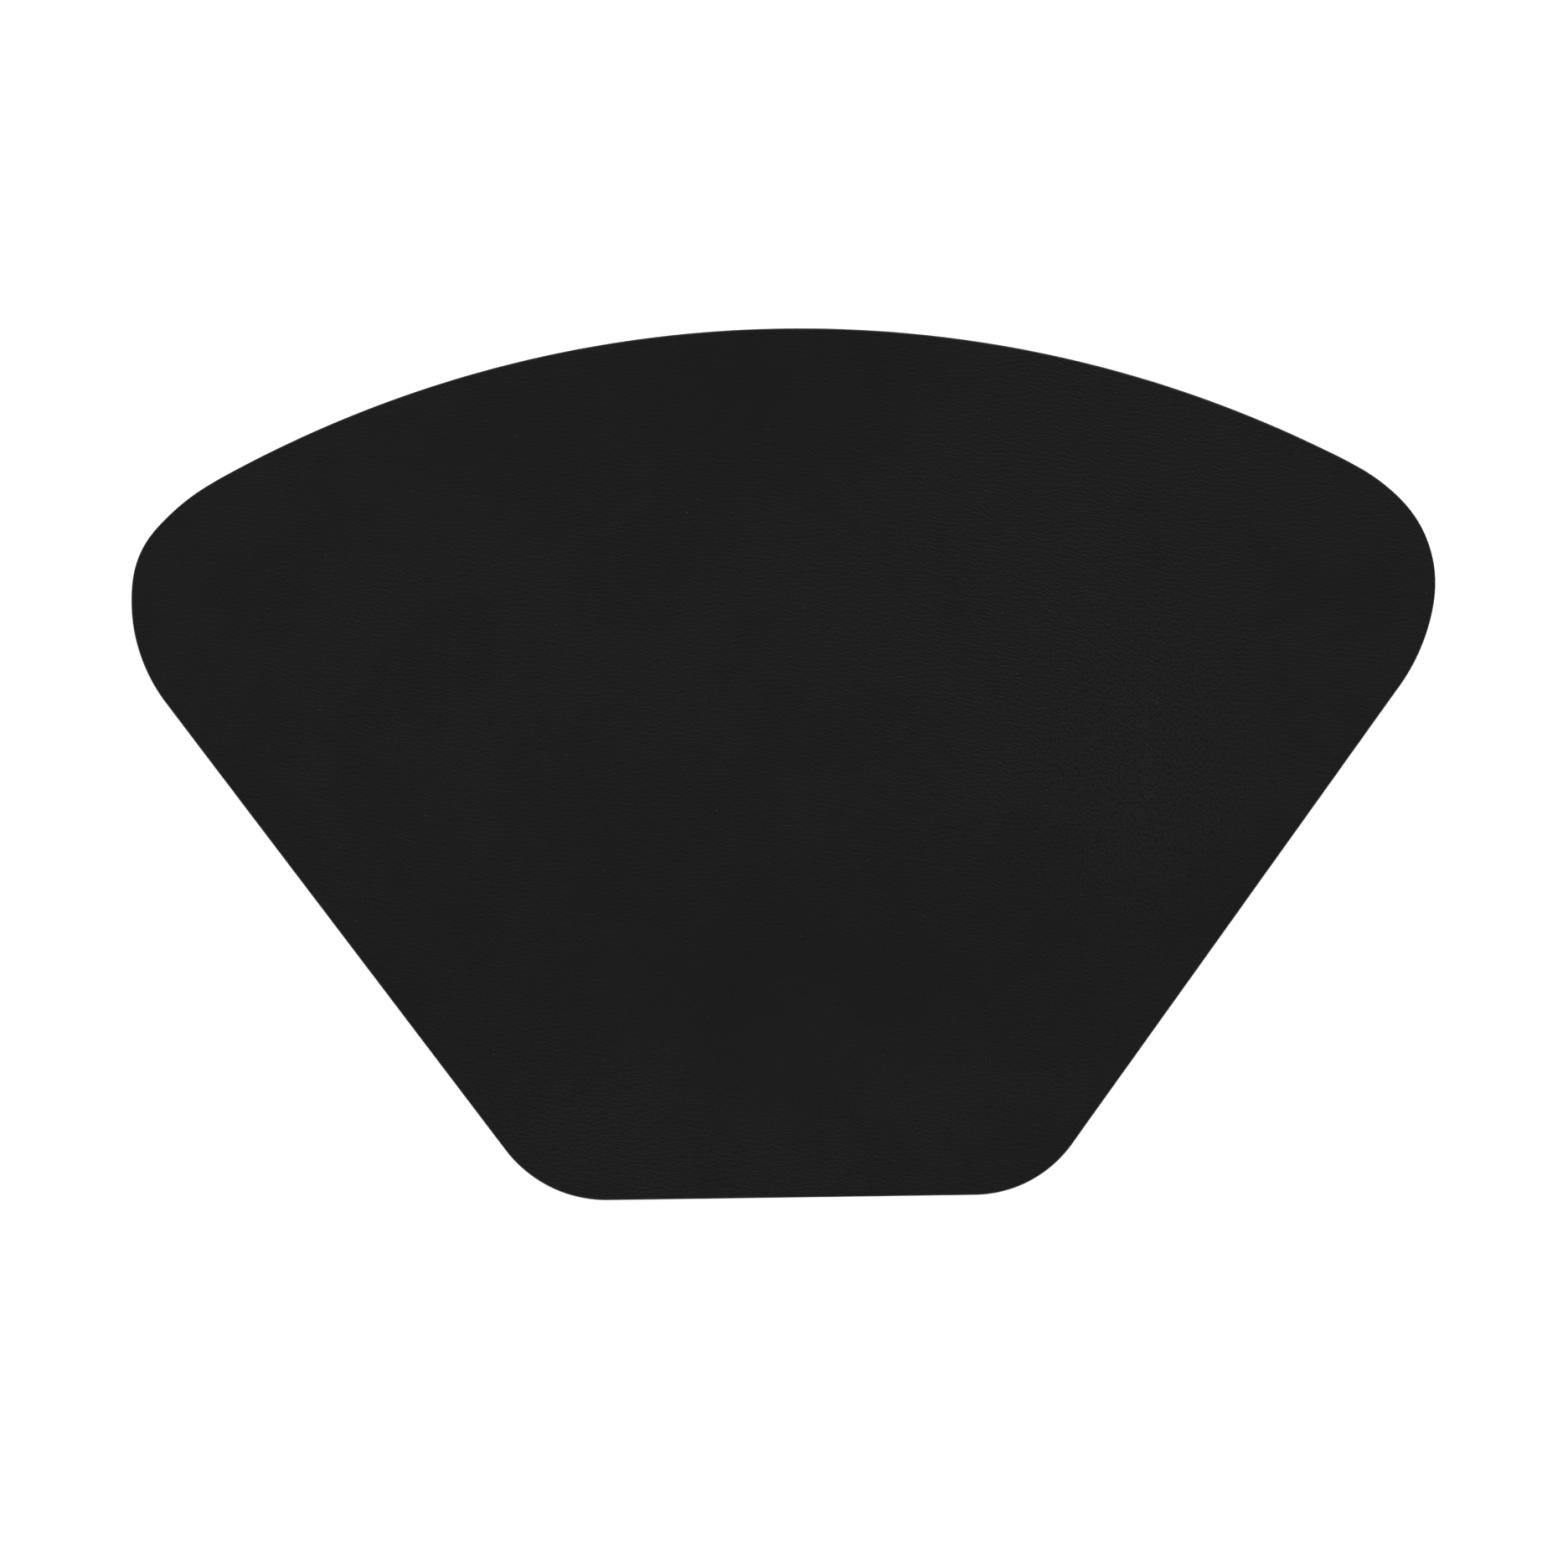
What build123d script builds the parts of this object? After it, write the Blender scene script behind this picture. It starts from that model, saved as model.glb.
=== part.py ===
from build123d import *
import math
import os

# A wedge-shaped desk mat for one seat at a round table, laid flat and seen with its long curved
# front edge toward +Y. Millimetres and degrees, +Z up. The origin is on the underside, at the
# centre of the mat's bounding box.

# Plan: two sides and two ends of a sector, measured from the centre of the round table.
FRONT_RADIUS = 550.0            # the long curved edge, which follows the table's rim
REAR_DISTANCE = 150.0           # the short straight edge, from the table's centre
SIDE_LEAN = 36.4                # each straight side, from the mat's centre line

# The mat is cut by hand, so its right and left halves differ a little.
RIGHT_SIDE_OFFSET = 0.2         # how far the right side lies outside a radius of the table
LEFT_SIDE_OFFSET = 4.0
RIGHT_REAR_CORNER = 56.0        # corner radii beside the rear edge
LEFT_REAR_CORNER = 58.5

# A shoulder joins a side to the front edge with three tangent arcs. The first two have a radius
# and a turn, and the last one has a radius and turns as far as the front edge needs.
RIGHT_SHOULDER = ((90.0, 27.3), (55.0, 53.4), 89.0)
LEFT_SHOULDER = ((78.0, 43.9), (43.0, 33.9), 103.0)

# Layers, from the bottom up. They are bonded as full sheets and then cut through together.
BACKING_THICKNESS = 0.7         # microfibre suede, the non-slip side
FILM_THICKNESS = 0.1            # one bonding film above and one below the board
BOARD_THICKNESS = 1.0           # leather-fibre board, which keeps the mat flat
LEATHER_THICKNESS = 1.6         # the grained writing surface

# The edge coat is painted round the cut edge and seals every layer. It stops just short of the
# underside, so the mat rests on its suede.
COAT_WIDTH = 0.35
COAT_GAP = 0.1
COAT_ROUNDING = 0.25            # at its top and bottom outer edges

LAYERS = (
    ("suede_backing", BACKING_THICKNESS),
    ("lower_bonding_film", FILM_THICKNESS),
    ("stiffener_board", BOARD_THICKNESS),
    ("upper_bonding_film", FILM_THICKNESS),
    ("leather_face", LEATHER_THICKNESS),
)
TOTAL_THICKNESS = sum(thickness for name, thickness in LAYERS)


def direction(heading):
    """The unit vector at a heading, which is counted anticlockwise from +X."""
    return Vector(math.cos(math.radians(heading)), math.sin(math.radians(heading)))


def rear_corner(heading, side_offset, radius):
    """The arc from the rear edge into a straight side, on the +X side of the centre line."""
    outward = direction(heading - 90)
    height = REAR_DISTANCE + radius
    centre = Vector((side_offset - radius - height * outward.Y) / outward.X, height)
    return CenterArc(centre, radius, -90, heading)


def shoulder_arcs(start, heading, shoulder, last_turn):
    """The three arcs of a shoulder, each one tangent to the edge before it."""
    (first_radius, first_turn), (second_radius, second_turn), last_radius = shoulder
    first = JernArc(start, direction(heading), first_radius, first_turn)
    second = JernArc(first @ 1, first % 1, second_radius, second_turn)
    last = JernArc(second @ 1, second % 1, last_radius, last_turn)
    return first, second, last


def shoulder_start(heading, side_offset, shoulder):
    """Where a shoulder has to leave its side so that its last arc meets the front edge."""
    along = direction(heading)
    on_side = direction(heading - 90) * side_offset
    last_radius = shoulder[2]
    last = shoulder_arcs(on_side, heading, shoulder, 1)[2]
    centre = last.arc_center
    forward = centre.dot(along)
    reach = FRONT_RADIUS - last_radius
    return on_side + along * (math.sqrt(forward ** 2 - centre.dot(centre) + reach ** 2) - forward)


def half_edges(side_offset, corner_radius, shoulder):
    """The rear corner, side and shoulder of the +X half, and the bearing where they reach the front."""
    heading = 90 - SIDE_LEAN
    corner = rear_corner(heading, side_offset, corner_radius)
    start = shoulder_start(heading, side_offset, shoulder)
    side = Line(corner @ 1, start)
    centre = shoulder_arcs(start, heading, shoulder, 1)[2].arc_center
    front_bearing = math.degrees(math.atan2(centre.Y, centre.X))
    turned = heading + shoulder[0][1] + shoulder[1][1]
    arcs = shoulder_arcs(start, heading, shoulder, front_bearing + 90 - turned)
    return [corner, side, *arcs], front_bearing


def mat_outline():
    """The mat's closed outline, moved so that its bounding box is centred on the origin."""
    right, right_bearing = half_edges(RIGHT_SIDE_OFFSET, RIGHT_REAR_CORNER, RIGHT_SHOULDER)
    left, left_bearing = half_edges(LEFT_SIDE_OFFSET, LEFT_REAR_CORNER, LEFT_SHOULDER)
    left = [mirror(edge, about=Plane.YZ) for edge in left]
    front = CenterArc((0, 0), FRONT_RADIUS, right_bearing, 180 - left_bearing - right_bearing)
    rear = Line(left[0] @ 0, right[0] @ 0)
    face = make_face([*right, front, *left, rear])
    centre = face.bounding_box().center()
    return face.moved(Location((-centre.X, -centre.Y, 0)))


def layer(core_outline, height, thickness):
    """One sheet of the laminate, from its underside's height."""
    return extrude(core_outline.moved(Location((0, 0, height))), thickness)


def edge_coat(outline, core_outline):
    """The painted ring round the laminate, with its outer edges rounded by the paint's surface."""
    block = layer(outline, COAT_GAP, TOTAL_THICKNESS - COAT_GAP)
    rims = block.faces().sort_by(Axis.Z)[0].edges() + block.faces().sort_by(Axis.Z)[-1].edges()
    return fillet(rims, COAT_ROUNDING) - extrude(core_outline, TOTAL_THICKNESS)


def build_parts():
    """Every sub-part of the mat, by its node's name."""
    outline = mat_outline()
    core_outline = make_face(offset(outline, -COAT_WIDTH).edges())
    parts = {}
    height = 0.0
    for name, thickness in LAYERS:
        parts[name] = layer(core_outline, height, thickness)
        height += thickness
    parts["edge_coat"] = edge_coat(outline, core_outline)
    return parts


def main():
    os.makedirs("parts", exist_ok=True)
    for name, shape in build_parts().items():
        shape.label = name
        export_step(shape, f"parts/{name}.step")
        size = shape.bounding_box().size
        print(f"{name}: {size.X:.2f} x {size.Y:.2f} x {size.Z:.2f} mm, {shape.volume:.0f} mm3")


main()
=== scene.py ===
import math

import bmesh
import bpy
import numpy as np
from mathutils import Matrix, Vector, noise


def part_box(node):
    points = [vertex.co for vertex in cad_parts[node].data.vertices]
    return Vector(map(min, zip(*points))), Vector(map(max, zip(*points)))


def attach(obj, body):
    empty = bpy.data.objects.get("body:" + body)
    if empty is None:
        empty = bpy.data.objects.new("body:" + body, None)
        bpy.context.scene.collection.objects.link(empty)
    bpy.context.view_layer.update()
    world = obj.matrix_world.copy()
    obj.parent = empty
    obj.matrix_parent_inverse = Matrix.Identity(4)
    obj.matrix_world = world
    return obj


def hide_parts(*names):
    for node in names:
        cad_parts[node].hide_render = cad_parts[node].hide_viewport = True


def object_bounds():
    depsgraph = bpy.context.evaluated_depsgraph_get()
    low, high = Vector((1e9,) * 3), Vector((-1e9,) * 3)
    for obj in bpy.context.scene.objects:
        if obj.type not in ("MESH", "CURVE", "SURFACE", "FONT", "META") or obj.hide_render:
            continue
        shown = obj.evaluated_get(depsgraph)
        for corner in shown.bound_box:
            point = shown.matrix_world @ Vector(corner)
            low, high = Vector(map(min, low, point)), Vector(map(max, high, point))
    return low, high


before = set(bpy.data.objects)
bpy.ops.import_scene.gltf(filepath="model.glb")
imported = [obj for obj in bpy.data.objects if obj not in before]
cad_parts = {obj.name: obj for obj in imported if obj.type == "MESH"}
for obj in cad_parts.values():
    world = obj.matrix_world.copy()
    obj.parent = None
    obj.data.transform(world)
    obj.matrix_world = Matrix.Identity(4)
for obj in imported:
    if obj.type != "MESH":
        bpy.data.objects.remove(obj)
CAD_LOW, CAD_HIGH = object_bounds()

# A wedge-shaped leather desk mat, seen from straight above. Metres, in the row frame: the mat lies on
# z = 0, its long curved front edge toward +Y. The mat is one rigid body.
BODY = "root"
MM = 0.001

WIDTH = CAD_HIGH.x - CAD_LOW.x
DEPTH = CAD_HIGH.y - CAD_LOW.y
TOP = CAD_HIGH.z

# Mesh spacing
LEATHER_SPACING = 1.7 * MM
SUEDE_SPACING = 3.2 * MM
COAT_SPACING = 1.6 * MM
RING_GROWTH = 1.45             # of the steps between the rings inside the rim
GRID_GAP = 0.6                 # between the innermost ring and the grid, of the spacing
SAME_CORNER = 0.01 * MM        # vertices closer than this along the rim are one corner of it
STRAIGHT_RUN = WIDTH / 10      # a rim edge longer than this is a straight side, not part of an arc
CURVE_STEPS = 32               # between two corners of the outline
SHOULDER_STEPS = 5
HAIR = 0.001 * MM              # a difference in height that counts as none

# The cut rims: the radius of each sheet's shoulder, and how far in its face stays level
LEATHER_SHOULDER = 0.35 * MM
SUEDE_SHOULDER = 0.15 * MM
LEVEL_RIM = 9 * MM

# The relief that the laid sheets keep: broad waves, and low folds along the grain
WAVE_HEIGHT = 0.14 * MM
WAVE_LENGTH = 95 * MM
FOLD_HEIGHT = 0.018 * MM
FOLD_LENGTH = 9 * MM
FOLD_STRETCH = 3               # times as long as they are wide
NAP_HEIGHT = 0.04 * MM
NAP_LENGTH = 14 * MM
OCTAVE_FALL = (1.0, 2.0)       # the noise's H and lacunarity: each octave is half as high and as long

# The edge coat's section, measured outward from the leather's side
COAT_LAP = 0.26 * MM           # how far it laps onto the leather's shoulder
COAT_SINK = 0.03 * MM          # below the leather's top, so the lap ends in the leather's surface
COAT_SQUARENESS = 3.0          # the exponent of its rounded section
COAT_STEPS = 14                # round its section
COAT_UNEVENNESS = 0.10         # how much its thickness varies along the edge
COAT_SWELL_LENGTH = 14 * MM

# Where most values of a noise and of the waves lie
NOISE_RANGE = (0.3, 0.7)
PATCHY_RANGE = (0.35, 0.65)    # a narrower range, for patches with firmer edges
WAVE_RANGE = (0.31, 0.69)

# The leather's grain, with its heights in shares of GRAIN_DEPTH. A wander is a length and how widely
# the grain strays over it. A scale is of the coordinates, so above 1 it shortens the grain that way.
GRAIN_DEPTH = 0.158 * MM
CREASE_PITCH = 2.25 * MM
CREASE_RUN = 1.3               # how many creases lie side by side before the pattern changes
CREASE_WANDER = (16 * MM, 3 * MM)
CREASE_SCALE = (1.15, 1)
CREASE_HEIGHTS = (-0.61, -0.19)
BREAK_PITCH = 0.95 * MM        # of the fine grain that breaks the creases up
BREAK_SCALE = (0.75, 1)
BREAK_HEIGHT = 0.80
RIDGE_TOP = 0.07               # the height of the flat ridges
RIDGE_SOFTNESS = 0.20          # how softly the creases leave them
PEBBLE_PITCH = 1.05 * MM
PEBBLE_WANDER = (5 * MM, 2 * MM)
PEBBLE_SCALE = (1.05, 0.65)
PEBBLE_TOP = 0.40
PEBBLE_SOFTNESS = 0.1          # of the grooves between pebbles
PORE_PITCH = 0.42 * MM
PORE_HEIGHT = 0.07
USUAL_CREASES = 0.90           # the strength of each, away from the patches below
USUAL_PEBBLES = 0.10

# The leather's colour and roughness
GROOVE_TO_RIDGE = (-0.35, 0.15)    # the grain's height in its grooves and on its ridges
# Painted shade: the colour is darker in the grooves and lighter on the ridges
GROOVE_PAINTED_SHADE = (0.40, 1.26)     # how light the colour is there
GRAIN_ROUGHNESS = (0.60, 0.44) # how rough the leather is there
CLOUD_PITCH = 60 * MM
BLACK = (0.0090, 0.0103)       # the colour, from cloud to cloud
MOTTLE_PITCH = 12 * MM
MOTTLE_SHADE = (0.97, 1.03)
FLECK_PITCH = 62 * MM
FLECK_RADIUS = 0.55 * MM
FLECK_COLOUR = 0.03
RUB_REACH = 2.5 * MM           # how far the rubbed rim reaches in from the edge
RUB_LENGTH = 7 * MM            # of its more and less rubbed stretches
RUB_COLOUR = 1.25
RUB_ROUGHNESS = -0.06

# The creases run across the mat, and each band makes them fall away: from x, to x and how far, as
# shares of the mat's width
GRAIN_FALLS = (
    (-0.48, -0.16, 0.050),
    (-0.12, 0.36, 0.050),
    (0.20, 0.38, 0.015),
)

# Soft oval patches: the middle and the reach, as shares of the mat's width and depth, and the change there.
# The crease and pebble patches are where the hide differs; the sheen and shade patches are painted sheen and
# painted shade.
CREASE_PATCHES = (
    ((0.20, 0.11), (0.22, 0.34), 0.53),
    ((-0.30, 0.10), (0.20, 0.25), 0.13),
    ((0.27, -0.01), (0.14, 0.30), -0.85),
    ((-0.02, -0.32), (0.22, 0.22), -0.75),
    ((-0.14, -0.43), (0.14, 0.18), 1.10),
    ((0.03, -0.47), (0.18, 0.14), 0.55),
    ((-0.28, 0.36), (0.18, 0.18), -0.40),
    ((-0.04, 0.46), (0.26, 0.24), -0.55),
    ((-0.47, 0.20), (0.14, 0.30), -0.25),
    ((0.44, 0.18), (0.12, 0.25), -0.20),
)
PEBBLE_PATCHES = (
    ((0.27, -0.01), (0.14, 0.30), 1.40),
    ((0.02, -0.30), (0.34, 0.30), 0.14),
)
# Painted sheen and shade: lighter and darker patches of colour that stand for how the light falls on the mat
SHEEN_AND_SHADE_PATCHES = (
    ((0.26, 0.03), (0.16, 0.30), 0.09),
    ((0.38, 0.28), (0.18, 0.30), -0.08),
    ((-0.13, -0.42), (0.20, 0.20), 0.14),
    ((-0.15, 0.38), (0.30, 0.25), -0.13),
    ((0.06, 0.47), (0.30, 0.20), -0.20),
    ((0.10, -0.18), (0.40, 0.22), -0.08),
    ((0.06, -0.43), (0.24, 0.20), 0.12),
)

# The edge paint, with its heights in shares of PAINT_DEPTH
PAINT_DEPTH = 0.05 * MM
RIPPLE_PITCH = 0.9 * MM
RIPPLE_HEIGHT = 0.5
FILM_LINE = 0.14 * MM          # half the width of the faint groove over each bonding film
FILM_LINE_HEIGHT = -0.6
BLOTCH_PITCH = 6 * MM
PAINT_BLACK = (0.009, 0.013)   # the colour and the roughness, from blotch to blotch
PAINT_ROUGHNESS = (0.34, 0.48)

# The suede: its fibres, and the strokes that they are brushed in
SUEDE_DEPTH = 0.16 * MM
FIBRE_PITCH = 0.45 * MM
FIBRE_SHADE = (0.75, 1.25)
SUEDE_ROUGHNESS = (0.85, 1.0)
STROKE_PITCH = 3.5 * MM
STROKE_SCALE = (0.25, 1)
STROKE_SHADE = (0.85, 1.15)
STROKE_HEIGHT = 0.6
STROKE_WANDER = (30 * MM, 24 * MM)
SHADE_PITCH = 45 * MM
CHARCOAL = (0.025, 0.038)

# The layers inside
BOARD_DEPTH = 0.1 * MM
BOARD_FIBRE_PITCH = 2.5 * MM
BOARD_BROWNS = ((0.11, 0.065, 0.04), (0.22, 0.14, 0.085))
BOARD_ROUGHNESS = (0.75, 0.9)
FILM_DEPTH = 0.03 * MM
MELT_PITCH = 5 * MM
MILKY_COLOURS = ((0.50, 0.45, 0.34), (0.62, 0.58, 0.46))
FILM_ROUGHNESS = (0.35, 0.55)

# The bake map of a sheet: bands for its side and its inner face, and the rest for its outer face
BAKE_MAP = "OFBake"
SIDE_BAND = (0.002, 0.030)
INNER_BAND = (0.035, 0.055)
OUTER_BAND = (0.060, 1.000)
COAT_ROWS = 16                 # the edge coat's bake map has this many rows

# The studio: the floor, the softboxes' azimuth, elevation and power, and the sky's strengths
FLOOR_REACH = 5.5              # each way, which the softboxes light evenly
FLOOR_WHITE = 0.80
FLOOR_GLOW = 0.80
SOFTBOX_DISTANCE = 6.0
SOFTBOX_SIZE = (4.2, 2.2)
SOFTBOXES = {
    "key_softbox": (74, 40, 200),
    "left_softbox": (190, 35, 64),
    "right_softbox": (-60, 35, 42),
}
HORIZON, OVERHEAD = 1.02, 0.06
OVERHEAD_RISE = 0.75           # the height, on a sphere of radius 1, where the sky is as dim as overhead

# The camera: a long lens far above, a little off the mat's middle and turned a little
SENSOR, LENS = 36, 200         # both in millimetres, as Blender has them
VIEW_WIDTH = 1.2019 * WIDTH
VIEW_MIDDLE = (-1.0 * MM, -9.65 * MM)
VIEW_TURN = math.radians(-0.823)


# ---------------------------------------------------------------- the outline, from the frame

def rim_corners(node_name):
    """The corners of a node's outline, anticlockwise in plan. It is convex, so their bearing sorts them."""
    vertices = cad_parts[node_name].data.vertices
    corners = np.unique(np.array([v.co[:2] for v in vertices]).round(6), axis=0)
    corners = corners[np.argsort(np.arctan2(corners[:, 1], corners[:, 0]))]
    step = np.linalg.norm(corners - np.roll(corners, 1, axis=0), axis=1)
    return corners[step > SAME_CORNER]


def unit(vectors):
    return vectors / np.linalg.norm(vectors, axis=-1, keepdims=True)


def rim_headings(corners):
    """The outline's direction at each corner: a straight side's, or the circle's through three corners."""
    ahead = np.roll(corners, -1, axis=0) - corners
    length = np.linalg.norm(ahead, axis=1)
    ahead = unit(ahead)
    behind = np.roll(ahead, 1, axis=0)
    length_behind = np.roll(length, 1)
    heading = unit(ahead * length_behind[:, None] + behind * length[:, None])
    heading[length > STRAIGHT_RUN] = ahead[length > STRAIGHT_RUN]
    heading[length_behind > STRAIGHT_RUN] = behind[length_behind > STRAIGHT_RUN]
    return heading


def smooth_rim(node_name, spacing):
    """Evenly spaced points on the node's true outline and the outward direction at each."""
    start = rim_corners(node_name)
    start_heading = rim_headings(start)
    end = np.roll(start, -1, axis=0)
    end_heading = np.roll(start_heading, -1, axis=0)
    chord = np.linalg.norm(end - start, axis=1)[:, None]
    fine = []
    for t in np.arange(CURVE_STEPS) / CURVE_STEPS:
        fine.append(start * (2 * t**3 - 3 * t**2 + 1) + end * (3 * t**2 - 2 * t**3)
                    + chord * (start_heading * (t**3 - 2 * t**2 + t) + end_heading * (t**3 - t**2)))
    fine = np.stack(fine, axis=1).reshape(-1, 2)
    closed = np.vstack([fine, fine[:1]])
    along = np.concatenate([[0], np.cumsum(np.linalg.norm(np.diff(closed, axis=0), axis=1))])
    count = round(along[-1] / spacing)
    place = np.arange(count) * along[-1] / count
    points = np.stack([np.interp(place, along, closed[:, axis]) for axis in (0, 1)], axis=1)
    heading = unit(np.roll(points, -1, axis=0) - np.roll(points, 1, axis=0))
    return points, np.stack([heading[:, 1], -heading[:, 0]], axis=1)


def depth_inside(places, rim, outward, batch=4000):
    """How far each place lies inside the convex outline; negative outside."""
    reach = (outward * rim).sum(axis=1)
    depths = []
    for part in np.array_split(places, max(1, len(places) // batch)):
        depths.append((reach - part @ outward.T).min(axis=1))
    return np.concatenate(depths)


def flat_area(node_name):
    """The area inside a node's outline, by the shoelace formula."""
    here = smooth_rim(node_name, COAT_SPACING)[0]
    ahead = np.roll(here, -1, axis=0)
    return 0.5 * float(np.sum(here[:, 0] * ahead[:, 1] - ahead[:, 0] * here[:, 1]))


# ---------------------------------------------------------------- relief

def eased(value, low, high):
    """0 at low and 1 at high, with a smooth start and end."""
    share = min(1.0, max(0.0, (value - low) / (high - low)))
    return share * share * (3 - 2 * share)


def leather_relief(x, y, inside):
    """The leather's height above or below level: broad waves and low folds that fade out at the rim."""
    fallen = sum(fall * eased(x / WIDTH, start, end) for start, end, fall in GRAIN_FALLS) * WIDTH
    wave = noise.fractal(Vector((x, y, 0)) / WAVE_LENGTH, *OCTAVE_FALL, 2)
    fold = noise.noise(Vector((x / FOLD_STRETCH, y + fallen, 0)) / FOLD_LENGTH)
    return (WAVE_HEIGHT * wave + FOLD_HEIGHT * fold) * eased(inside, 0, LEVEL_RIM)


def suede_relief(x, y, inside):
    """The suede's slightly uneven nap. It only hollows the face, which rests on the table."""
    nap = noise.fractal(Vector((x, y, 0)) / NAP_LENGTH, *OCTAVE_FALL, 3)
    return -NAP_HEIGHT * abs(nap) * eased(inside, 0, LEVEL_RIM)


# ---------------------------------------------------------------- meshes

def new_piece(name, mesh, node_name, material):
    """A finished piece that stands for a CAD node."""
    piece = bpy.data.objects.new(name, mesh)
    bpy.context.scene.collection.objects.link(piece)
    mesh.materials.append(material)
    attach(piece, BODY)
    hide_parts(node_name)
    return piece


def finished_mesh(mesh, name):
    made = bpy.data.meshes.new(name)
    mesh.to_mesh(made)
    mesh.free()
    return made


def add_ring(mesh, places, height):
    return [mesh.verts.new((*place, height)) for place in places]


def add_band(mesh, lower, upper):
    """Faces between two closed rings of vertices, in order along the rim."""
    corners = zip(lower, lower[1:] + lower[:1], upper[1:] + upper[:1], upper)
    return [mesh.faces.new(four) for four in corners]


def between(band, share):
    return band[0] + (band[1] - band[0]) * share


def map_along(face, layer, place, width, low, high):
    """Maps a face of a band: u along the rim, v from low to high."""
    shares = ((place, low), (place + width, low), (place + width, high), (place, high))
    for loop, share in zip(face.loops, shares):
        loop[layer].uv = share


def map_flat(face, layer, low, high, band):
    """Maps a face as seen from above, from the box's low to high corners, into a band of the map."""
    for loop in face.loops:
        across = (loop.vert.co.x - low.x) / (high.x - low.x)
        share = (loop.vert.co.y - low.y) / (high.y - low.y)
        loop[layer].uv = (across, between(band, share))


def shoulder_rings(radius, thickness):
    """Insets and heights of a sheet's rim, from its inner face up its side and over its rounded shoulder."""
    rings = [(0.0, 0.0), (0.0, 0.5 * (thickness - radius))]
    for step in range(SHOULDER_STEPS + 1):
        turn = 0.5 * math.pi * step / SHOULDER_STEPS
        rings.append((radius * (1 - math.cos(turn)), thickness - radius + radius * math.sin(turn)))
    return rings


def inner_insets(radius, spacing):
    """Insets of the level rings inside the shoulder, opening out to the grid's spacing."""
    insets = []
    inset = radius
    step = radius
    while step < spacing:
        step *= RING_GROWTH
        inset += step
        insets.append(inset)
    return insets


def fill_grid(mesh, low, high, spacing, height, rim, outward, clear):
    """Square faces at a height, on every grid place that lies at least clear inside the rim."""
    columns = np.arange(low.x, high.x, spacing)
    rows = np.arange(low.y, high.y, spacing)
    places = np.stack(np.meshgrid(columns, rows, indexing="ij"), axis=-1)
    inside = depth_inside(places.reshape(-1, 2), rim, outward).reshape(places.shape[:2])
    kept = inside > clear
    whole = kept[:-1, :-1] & kept[1:, :-1] & kept[:-1, 1:] & kept[1:, 1:]
    grid = {}
    for i, j in zip(*np.nonzero(whole)):
        corners = ((i, j), (i + 1, j), (i + 1, j + 1), (i, j + 1))
        for corner in corners:
            if corner not in grid:
                grid[corner] = mesh.verts.new((*places[corner], height))
        mesh.faces.new([grid[corner] for corner in corners])


def sheet_mesh(name, node_name, spacing, radius, faces_up, relief):
    """A closed sheet with the node's outline: a grid on its outer face, rings round its rim, and a plain
    inner face. relief(x, y, inside) moves only the outer face. A sheet that faces down is turned over."""
    low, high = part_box(node_name)
    thickness = high.z - low.z
    rim, outward = smooth_rim(node_name, spacing)
    mesh = bmesh.new()
    layer = mesh.loops.layers.uv.new(BAKE_MAP)
    shoulder = shoulder_rings(radius, thickness)
    level = [(inset, thickness) for inset in inner_insets(radius, spacing)]
    rings = [add_ring(mesh, rim - outward * inset, height) for inset, height in shoulder + level]
    bands = [add_band(mesh, lower, upper) for lower, upper in zip(rings, rings[1:])]
    inner_face = mesh.faces.new(reversed(rings[0]))
    fill_grid(mesh, low, high, spacing, thickness, rim, outward, level[-1][0] + GRID_GAP * spacing)
    gap = [edge for edge in mesh.edges if len(edge.link_faces) == 1]
    bmesh.ops.triangle_fill(mesh, use_beauty=True, edges=gap, normal=(0, 0, 1))

    for face in mesh.faces:
        face.smooth = True
        map_flat(face, layer, low, high, INNER_BAND if face == inner_face else OUTER_BAND)
    sides = bands[:len(shoulder) - 1]
    for row, band in enumerate(sides):
        edges = [between(SIDE_BAND, share / len(sides)) for share in (row, row + 1)]
        for k, face in enumerate(band):
            map_along(face, layer, k / len(band), 1 / len(band), *edges)

    inside = depth_inside(np.array([vertex.co[:2] for vertex in mesh.verts]), rim, outward)
    for vertex, depth in zip(mesh.verts, inside):
        if vertex.co.z > thickness - HAIR:
            vertex.co.z += relief(vertex.co.x, vertex.co.y, depth)
        vertex.co.z = low.z + vertex.co.z if faces_up else high.z - vertex.co.z
    if not faces_up:
        bmesh.ops.reverse_faces(mesh, faces=mesh.faces)
    made = finished_mesh(mesh, name)
    rim_depth = made.attributes.new("rim_depth", "FLOAT", "POINT")
    rim_depth.data.foreach_set("value", inside.astype(np.float32))
    return made


def coat_section(width, bottom, top):
    """The edge coat's outer section as (outward, height), from under its bottom round to its top."""
    middle = 0.5 * (bottom + top)
    half = 0.5 * (top - bottom)
    points = []
    for step in range(COAT_STEPS + 1):
        turn = math.pi * (step / COAT_STEPS - 0.5)
        reach = abs(math.cos(turn)) ** (2 / COAT_SQUARENESS)
        rise = math.copysign(abs(math.sin(turn)) ** (2 / COAT_SQUARENESS), math.sin(turn))
        points.append((-COAT_LAP + (width + COAT_LAP) * reach, middle + half * rise))
    return points


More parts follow.
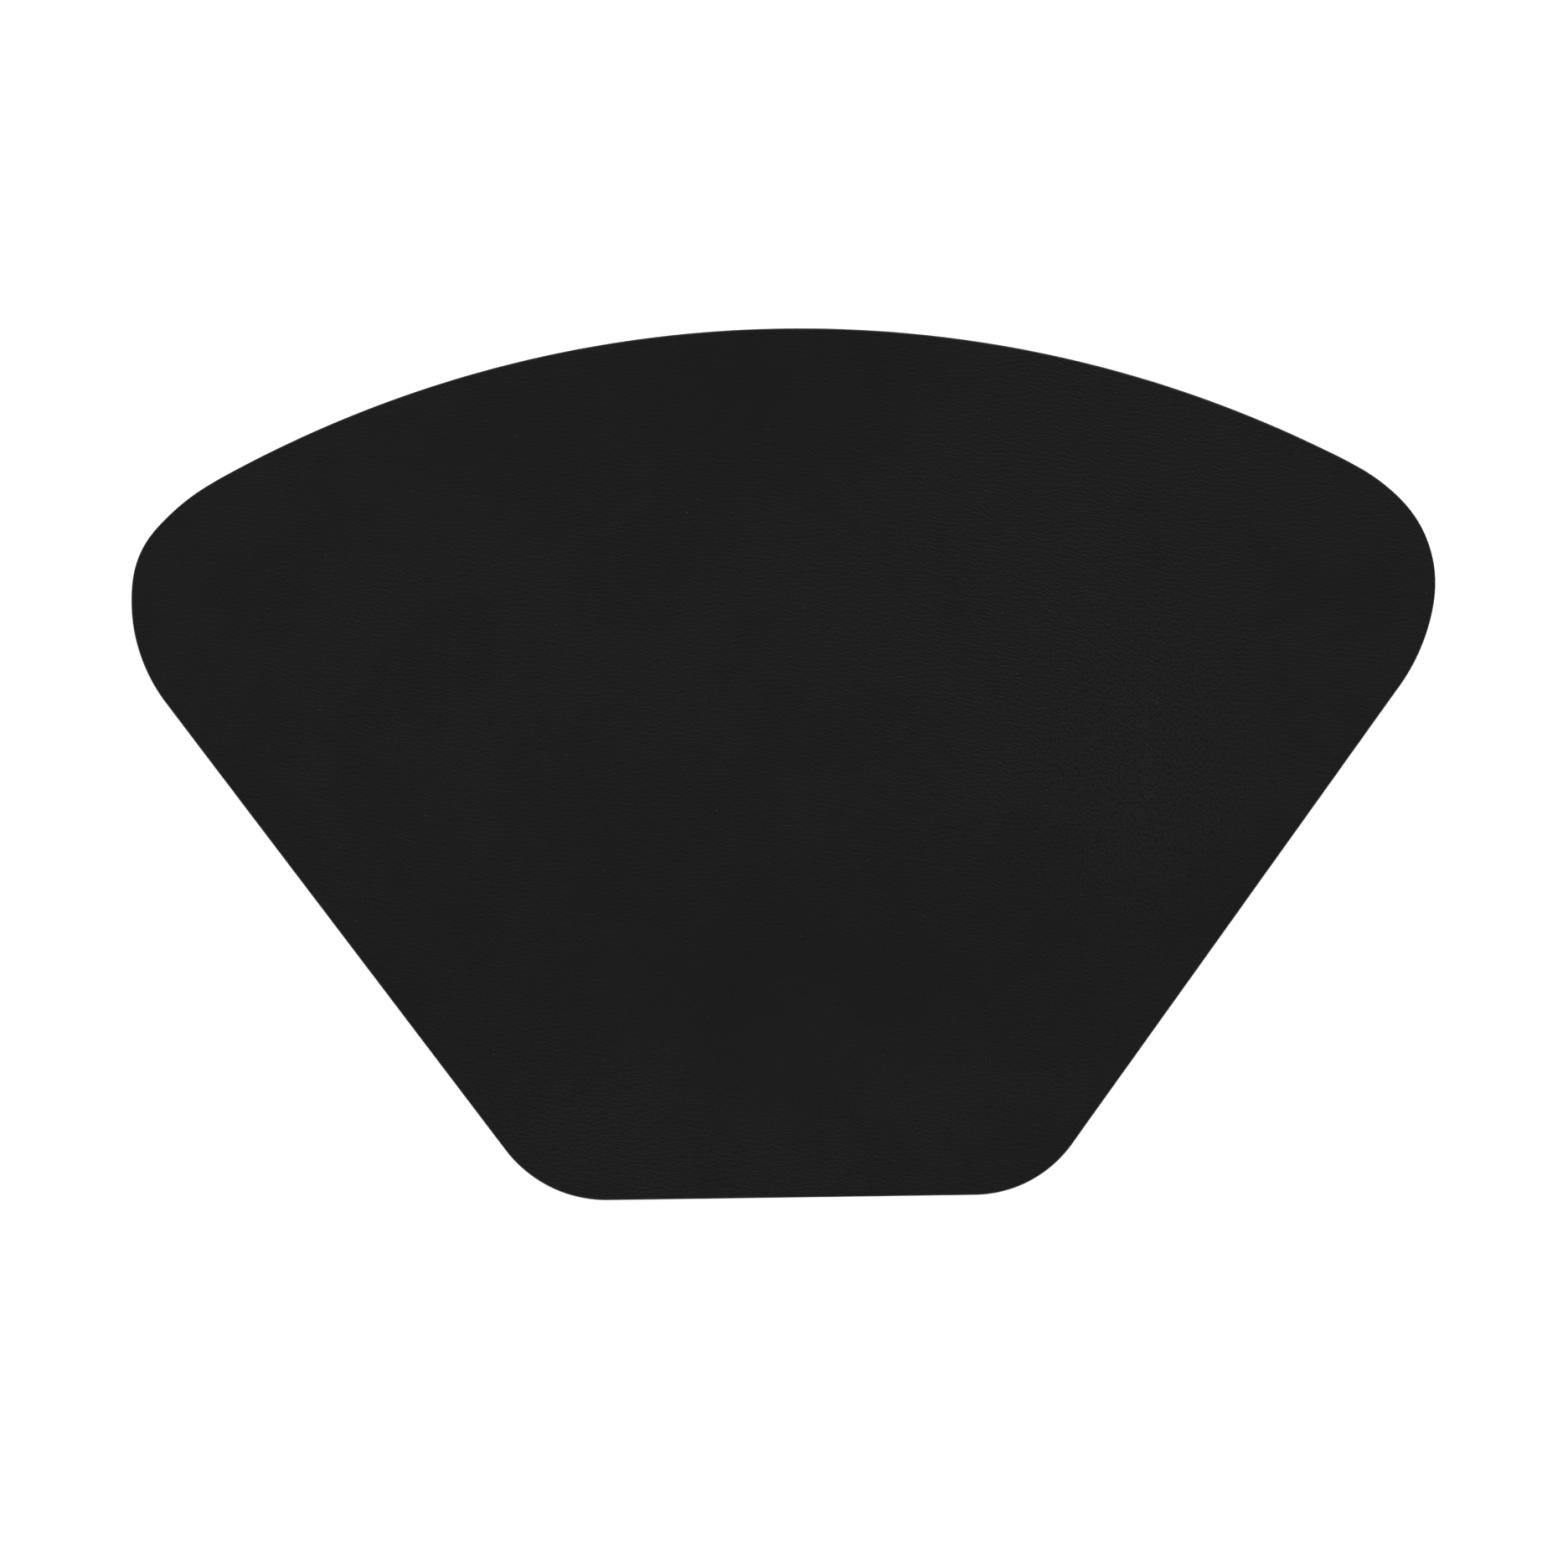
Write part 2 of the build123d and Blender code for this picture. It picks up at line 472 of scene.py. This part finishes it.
def coat_mesh(name):
    """The painted edge as a ring with a rounded, slightly uneven section."""
    low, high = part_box("edge_coat")
    leather_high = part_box("leather_face")[1]
    rim, outward = smooth_rim("leather_face", COAT_SPACING)
    swell = [noise.fractal(Vector((*place, 0)) / COAT_SWELL_LENGTH, *OCTAVE_FALL, 3) for place in rim]
    bulge = 1 + COAT_UNEVENNESS * np.array(swell)[:, None]
    mesh = bmesh.new()
    layer = mesh.loops.layers.uv.new(BAKE_MAP)
    rings = []
    for reach, height in coat_section(high.x - leather_high.x, low.z, high.z - COAT_SINK):
        out = outward * reach * (bulge if reach > 0 else 1)
        rings.append(add_ring(mesh, rim + out, height))
    row_length = math.ceil(len(rim) / COAT_ROWS)
    for step, (lower, upper) in enumerate(zip(rings, rings[1:] + rings[:1])):
        for k, face in enumerate(add_band(mesh, lower, upper)):
            face.smooth = True
            row = k // row_length
            edges = [(row + share / len(rings)) / COAT_ROWS for share in (step, step + 1)]
            map_along(face, layer, k % row_length / row_length, 1 / row_length, *edges)
    return finished_mesh(mesh, name)


# ---------------------------------------------------------------- materials

class Nodes:
    """A new material, and short calls for building its nodes. Lengths are in metres."""

    def __init__(self, name):
        self.material = bpy.data.materials.new(name)
        self.material.use_nodes = True
        self.tree = self.material.node_tree
        self.shader = self.tree.nodes["Principled BSDF"]

    def add(self, kind, inputs=None, **settings):
        node = self.tree.nodes.new(kind)
        for key, value in settings.items():
            setattr(node, key, value)
        for key, value in (inputs or {}).items():
            self.feed(node, key, value)
        return node

    def feed(self, node, key, value):
        if isinstance(value, bpy.types.NodeSocket):
            self.tree.links.new(value, node.inputs[key])
        else:
            node.inputs[key].default_value = value

    def look(self, colour, roughness, height, depth, **constants):
        """Feeds the shader, with a bump whose height is in shares of depth."""
        bump = self.add("ShaderNodeBump", {"Strength": 1.0, "Distance": depth, "Height": height})
        self.feed(self.shader, "Normal", bump.outputs["Normal"])
        self.feed(self.shader, "Base Color", colour)
        self.feed(self.shader, "Roughness", roughness)
        for key, value in constants.items():
            self.shader.inputs[key.replace("_", " ")].default_value = value

    def place(self):
        return self.add("ShaderNodeTexCoord").outputs["Object"]

    def attribute(self, name):
        return self.add("ShaderNodeAttribute", attribute_name=name).outputs["Fac"]

    def split(self, place):
        return self.add("ShaderNodeSeparateXYZ", {"Vector": place}).outputs

    def math(self, operation, a, b=0.0, c=0.0):
        return self.add("ShaderNodeMath", {0: a, 1: b, 2: c}, operation=operation).outputs[0]

    def vector(self, operation, a, b):
        return self.add("ShaderNodeVectorMath", {0: a, 1: b}, operation=operation).outputs["Vector"]

    def scaled(self, place, x, y, z=0.0):
        return self.vector("MULTIPLY", place, (x, y, z))

    def ramp(self, value, low, high, start=0.0, end=1.0):
        """start where value is low and end where it is high, eased between them."""
        node = self.add(
            "ShaderNodeMapRange",
            {"Value": value, "From Min": low, "From Max": high, "To Min": start, "To Max": end},
            interpolation_type="SMOOTHSTEP")
        return node.outputs["Result"]

    def noise(self, place, pitch, detail, plane="3D"):
        """Noise from 0 to 1, mostly 0.3 to 0.7, whose features are about pitch apart."""
        node = self.add(
            "ShaderNodeTexNoise", {"Vector": place, "Scale": 1 / pitch, "Detail": detail},
            noise_dimensions=plane)
        return node.outputs["Fac"]

    def cells(self, place, pitch, smoothness=0.0):
        """Distance from the middle of the nearest of the cells, which are about pitch across."""
        node = self.add(
            "ShaderNodeTexVoronoi", {"Vector": place, "Scale": 1 / pitch, "Smoothness": smoothness},
            feature="SMOOTH_F1", voronoi_dimensions="2D")
        return node.outputs["Distance"]

    def waves(self, place, pitch, run):
        """Short waves with crests along X. Most of the values lie from 0.3 to 0.7."""
        node = self.add(
            "ShaderNodeTexGabor",
            {"Vector": place, "Scale": 1 / (pitch * run), "Frequency": run, "Anisotropy": 1.0,
             "Orientation": math.pi / 2}, gabor_type="2D")
        return node.outputs["Value"]

    def bent(self, place, pitch, reach):
        """Coordinates that wander from side to side within reach, over lengths of about pitch."""
        wander = self.add(
            "ShaderNodeTexNoise", {"Vector": place, "Scale": 1 / pitch, "Detail": 1.0},
            noise_dimensions="2D").outputs["Color"]
        wander = self.vector("SUBTRACT", wander, (0.5, 0.5, 0.5))
        return self.vector("ADD", place, self.scaled(wander, reach, reach))

    def fallen(self, place):
        """Coordinates whose lines of equal Y follow the leather's creases."""
        x, y = self.split(place)["X"], self.split(place)["Y"]
        for start, end, fall in GRAIN_FALLS:
            y = self.math("ADD", y, self.ramp(x, start * WIDTH, end * WIDTH, 0, fall * WIDTH))
        return self.add("ShaderNodeCombineXYZ", {"X": x, "Y": y}).outputs["Vector"]

    def patches(self, place, usual, listed):
        """usual, changed by each listed patch's amount in its middle and fading out at its reach."""
        place = self.scaled(place, 1 / WIDTH, 1 / DEPTH)
        total = usual
        for middle, reach, amount in listed:
            away = self.scaled(self.vector("SUBTRACT", place, (*middle, 0)), 1 / reach[0], 1 / reach[1])
            length = self.add("ShaderNodeVectorMath", {0: away}, operation="LENGTH").outputs["Value"]
            total = self.math("ADD", total, self.ramp(length, 0, 1, amount, 0))
        return total

    def mix(self, share, a, b):
        """A colour between two others."""
        node = self.add("ShaderNodeMix", data_type="RGBA")
        colours = [socket for socket in node.inputs if socket.type == "RGBA"]
        self.feed(node, "Factor", share)
        colours[0].default_value = (*a, 1)
        colours[1].default_value = (*b, 1)
        return next(socket for socket in node.outputs if socket.type == "RGBA")

    def grey(self, value):
        node = self.add("ShaderNodeCombineColor", {"Red": value, "Green": value, "Blue": value})
        return node.outputs["Color"]


def leather_creases(n, place):
    """Fine creases between flat ridges. Each is a groove of the waves, broken up by finer grain."""
    creased = n.bent(n.fallen(place), *CREASE_WANDER)
    waves = n.waves(n.scaled(creased, *CREASE_SCALE), CREASE_PITCH, CREASE_RUN)
    breaks = n.noise(n.scaled(creased, *BREAK_SCALE), BREAK_PITCH, 0.5, "2D")
    height = n.ramp(waves, *WAVE_RANGE, *CREASE_HEIGHTS)
    height = n.math("ADD", height, n.math("MULTIPLY", breaks, BREAK_HEIGHT))
    height = n.math("MULTIPLY", height, n.patches(place, USUAL_CREASES, CREASE_PATCHES))
    return n.math("SMOOTH_MIN", height, RIDGE_TOP, RIDGE_SOFTNESS)


def leather_grain(n, place):
    """The grain's height: creases, pebbles where the hide is looser, and pores."""
    creases = leather_creases(n, place)
    pebbled = n.scaled(n.bent(place, *PEBBLE_WANDER), *PEBBLE_SCALE)
    pebbles = n.math("SUBTRACT", PEBBLE_TOP, n.cells(pebbled, PEBBLE_PITCH, PEBBLE_SOFTNESS))
    pebbles = n.math("MULTIPLY", pebbles, n.patches(place, USUAL_PEBBLES, PEBBLE_PATCHES))
    pores = n.math("SUBTRACT", n.noise(place, PORE_PITCH, 1.5, "2D"), 0.5)
    return n.math("ADD", n.math("ADD", creases, pebbles), n.math("MULTIPLY", pores, PORE_HEIGHT))


def face_leather():
    """Black leather with painted shade, darker in its grooves and lighter on its ridges. Its ridges are
    smoother and its rim is rubbed paler and smoother.
    """
    n = Nodes("black_leather")
    place = n.place()
    height = leather_grain(n, place)
    scuffs = n.ramp(n.noise(place, RUB_LENGTH, 3), *PATCHY_RANGE, 0.2, 1.0)
    rub = n.math("MULTIPLY", n.ramp(n.attribute("rim_depth"), 0, RUB_REACH, 1, 0), scuffs)
    tone = n.ramp(n.noise(place, CLOUD_PITCH, 3), *NOISE_RANGE, *BLACK)
    # Painted sheen and shade: lighter and darker patches of colour
    tone = n.math("MULTIPLY", tone, n.patches(place, 1.0, SHEEN_AND_SHADE_PATCHES))
    tone = n.math("MULTIPLY", tone, n.ramp(n.noise(place, MOTTLE_PITCH, 2), *NOISE_RANGE, *MOTTLE_SHADE))
    # Painted shade: the colour is darker in the grooves and lighter on the ridges
    tone = n.math("MULTIPLY", tone, n.ramp(height, *GROOVE_TO_RIDGE, *GROOVE_PAINTED_SHADE))
    tone = n.math("MULTIPLY", tone, n.ramp(rub, 0, 1, 1, RUB_COLOUR))
    fleck = n.ramp(n.cells(place, FLECK_PITCH), 0, FLECK_RADIUS / FLECK_PITCH, FLECK_COLOUR, 0)
    tone = n.math("ADD", tone, fleck)
    roughness = n.ramp(height, *GROOVE_TO_RIDGE, *GRAIN_ROUGHNESS)
    roughness = n.math("ADD", roughness, n.ramp(rub, 0, 1, 0, RUB_ROUGHNESS))
    n.look(n.grey(tone), roughness, height, GRAIN_DEPTH, Specular_IOR_Level=0.25)
    return n.material


def edge_paint():
    """Black edge paint, with fine brush ripples and a faint line over each bonding film."""
    n = Nodes("black_edge_paint")
    place = n.place()
    blotch = n.noise(place, BLOTCH_PITCH, 3)
    ripples = n.noise(n.scaled(place, 1, 1, 4), RIPPLE_PITCH, 3)
    height = n.math("MULTIPLY", ripples, RIPPLE_HEIGHT)
    rise = n.split(place)["Z"]
    for film in ("lower_bonding_film", "upper_bonding_film"):
        low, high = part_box(film)
        away = n.math("ABSOLUTE", n.math("SUBTRACT", rise, 0.5 * (low.z + high.z)))
        height = n.math("ADD", height, n.ramp(away, 0, FILM_LINE, FILM_LINE_HEIGHT, 0))
    tone = n.ramp(blotch, *NOISE_RANGE, *PAINT_BLACK)
    roughness = n.ramp(blotch, *NOISE_RANGE, *PAINT_ROUGHNESS)
    n.look(n.grey(tone), roughness, height, PAINT_DEPTH, Specular_IOR_Level=0.4)
    return n.material


def backing_suede():
    """Charcoal microfibre suede: a short nap, brushed this way and that in patches."""
    n = Nodes("charcoal_suede")
    place = n.place()
    swept = n.bent(place, *STROKE_WANDER)
    nap = n.noise(place, FIBRE_PITCH, 3)
    strokes = n.noise(n.scaled(swept, *STROKE_SCALE), STROKE_PITCH, 3)
    tone = n.ramp(n.noise(swept, SHADE_PITCH, 3), *NOISE_RANGE, *CHARCOAL)
    tone = n.math("MULTIPLY", tone, n.ramp(nap, *NOISE_RANGE, *FIBRE_SHADE))
    tone = n.math("MULTIPLY", tone, n.ramp(strokes, *NOISE_RANGE, *STROKE_SHADE))
    height = n.math("ADD", nap, n.math("MULTIPLY", strokes, STROKE_HEIGHT))
    roughness = n.ramp(nap, *NOISE_RANGE, *SUEDE_ROUGHNESS)
    n.look(n.grey(tone), roughness, height, SUEDE_DEPTH, Sheen_Weight=0.3, Sheen_Roughness=0.4)
    return n.material


def fibre_board():
    """Brown board of pressed leather fibre, sealed inside the mat."""
    n = Nodes("brown_fibre_board")
    fibre = n.noise(n.place(), BOARD_FIBRE_PITCH, 5)
    colour = n.mix(n.ramp(fibre, *PATCHY_RANGE), *BOARD_BROWNS)
    n.look(colour, n.ramp(fibre, *NOISE_RANGE, *BOARD_ROUGHNESS), fibre, BOARD_DEPTH)
    return n.material


def bonding_film():
    """Milky hot-melt film, sealed inside the mat."""
    n = Nodes("milky_bonding_film")
    melt = n.noise(n.place(), MELT_PITCH, 3)
    colour = n.mix(n.ramp(melt, *PATCHY_RANGE), *MILKY_COLOURS)
    n.look(colour, n.ramp(melt, *NOISE_RANGE, *FILM_ROUGHNESS), melt, FILM_DEPTH)
    return n.material


# ---------------------------------------------------------------- stage

def add_floor():
    """A white floor that glows a little, so that it stays white round the black mat."""
    n = Nodes("white_floor")
    n.feed(n.shader, "Base Color", (FLOOR_WHITE, FLOOR_WHITE, FLOOR_WHITE, 1))
    n.feed(n.shader, "Roughness", 0.9)
    n.feed(n.shader, "Specular IOR Level", 0.1)
    n.feed(n.shader, "Emission Color", (1, 1, 1, 1))
    n.feed(n.shader, "Emission Strength", FLOOR_GLOW)
    corners = [(FLOOR_REACH * x, FLOOR_REACH * y, 0) for x, y in ((-1, -1), (1, -1), (1, 1), (-1, 1))]
    mesh = bpy.data.meshes.new("floor")
    mesh.from_pydata(corners, [], [(0, 1, 2, 3)])
    mesh.materials.append(n.material)
    floor = bpy.data.objects.new("floor", mesh)
    bpy.context.scene.collection.objects.link(floor)


def add_softbox(name, azimuth, elevation, power):
    """A soft area light aimed at the mat. Azimuth is counted anticlockwise from +X, in degrees."""
    light = bpy.data.lights.new(name, "AREA")
    light.shape = "RECTANGLE"
    light.size, light.size_y = SOFTBOX_SIZE
    light.energy = power
    lamp = bpy.data.objects.new(name, light)
    turn = math.radians(azimuth)
    lift = math.radians(elevation)
    direction = Vector((math.cos(turn) * math.cos(lift), math.sin(turn) * math.cos(lift), math.sin(lift)))
    lamp.location = direction * SOFTBOX_DISTANCE
    lamp.rotation_mode = "QUATERNION"
    lamp.rotation_quaternion = direction.to_track_quat("Z", "Y")
    lamp.visible_camera = False
    bpy.context.scene.collection.objects.link(lamp)


def add_sky():
    """A soft surround: white at the horizon and dim overhead, so the black leather stays black."""
    world = bpy.data.worlds.new("studio")
    bpy.context.scene.world = world
    world.use_nodes = True
    tree = world.node_tree
    coordinates = tree.nodes.new("ShaderNodeTexCoord")
    split = tree.nodes.new("ShaderNodeSeparateXYZ")
    ramp = tree.nodes.new("ShaderNodeMapRange")
    ramp.interpolation_type = "SMOOTHSTEP"
    ramp.inputs["From Min"].default_value = 0.0
    ramp.inputs["From Max"].default_value = OVERHEAD_RISE
    ramp.inputs["To Min"].default_value = HORIZON
    ramp.inputs["To Max"].default_value = OVERHEAD
    background = tree.nodes["Background"]
    background.inputs["Color"].default_value = (1, 1, 1, 1)
    tree.links.new(coordinates.outputs["Generated"], split.inputs[0])
    tree.links.new(split.outputs["Z"], ramp.inputs["Value"])
    tree.links.new(ramp.outputs["Result"], background.inputs["Strength"])


def add_camera():
    """Straight down on the mat, far off with a long lens."""
    data = bpy.data.cameras.new("camera")
    data.sensor_width = SENSOR
    data.lens = LENS
    camera = bpy.data.objects.new("camera", data)
    camera.location = (*VIEW_MIDDLE, TOP + VIEW_WIDTH * LENS / SENSOR)
    camera.rotation_euler = (0, 0, VIEW_TURN)
    bpy.context.scene.collection.objects.link(camera)
    bpy.context.scene.camera = camera


# ---------------------------------------------------------------- the scene

leather_mesh = sheet_mesh(
    "leather_face_sheet", "leather_face", LEATHER_SPACING, LEATHER_SHOULDER, True, leather_relief)
leather = new_piece("leather_face_sheet", leather_mesh, "leather_face", face_leather())
flat_area("leather_face")

suede_mesh = sheet_mesh(
    "suede_backing_sheet", "suede_backing", SUEDE_SPACING, SUEDE_SHOULDER, False, suede_relief)
backing = new_piece("suede_backing_sheet", suede_mesh, "suede_backing", backing_suede())
flat_area("suede_backing")

new_piece("edge_coat_bead", coat_mesh("edge_coat_bead"), "edge_coat", edge_paint())

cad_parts["stiffener_board"].material_slots[0].material = fibre_board()
film_material = bonding_film()
for film_node in ("upper_bonding_film", "lower_bonding_film"):
    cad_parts[film_node].material_slots[0].material = film_material

add_floor()
add_sky()
for softbox, (azimuth, elevation, power) in SOFTBOXES.items():
    add_softbox(softbox, azimuth, elevation, power)
add_camera()
bpy.context.scene.view_settings.view_transform = "Standard"
